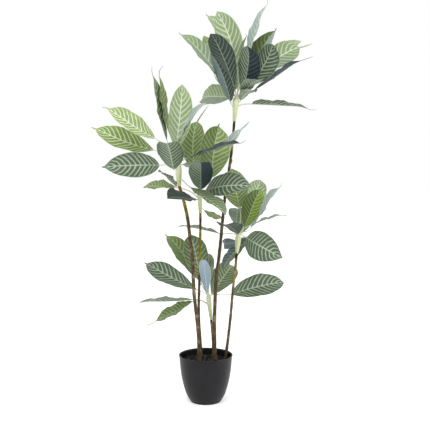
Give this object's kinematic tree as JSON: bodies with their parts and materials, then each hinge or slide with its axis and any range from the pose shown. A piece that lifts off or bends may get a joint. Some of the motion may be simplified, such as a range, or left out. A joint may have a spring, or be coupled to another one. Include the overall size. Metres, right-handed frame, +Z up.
{
  "type": "potted house plant",
  "caption": "Tall potted house plant: slender woody canes in a plain black round pot, each topped by a rosette of broad pointed leaves with pale veins.",
  "frame": {"origin": "centre of the pot's flat underside", "axes": "+Z up, -Y to the front as pictured, +X to the viewer's right"},
  "size_m": [0.8999, 0.6543, 1.6248],
  "materials": {
    "pot": "matt black plastic",
    "fill": "dark bonded granules",
    "bark": "brown bark",
    "leaf": "satin green foliage"
  },
  "bodies": {
    "root": {"pot": "pot", "soil": "fill", "cane_left": "bark", "cane_middle": "bark", "cane_tall": "bark", "cane_right": "bark", "cane_low": "bark", "shoot_left": "leaf", "shoot_middle": "leaf", "shoot_tall": "leaf", "shoot_right": "leaf", "shoot_low": "leaf"}
  },
  "joints": []
}
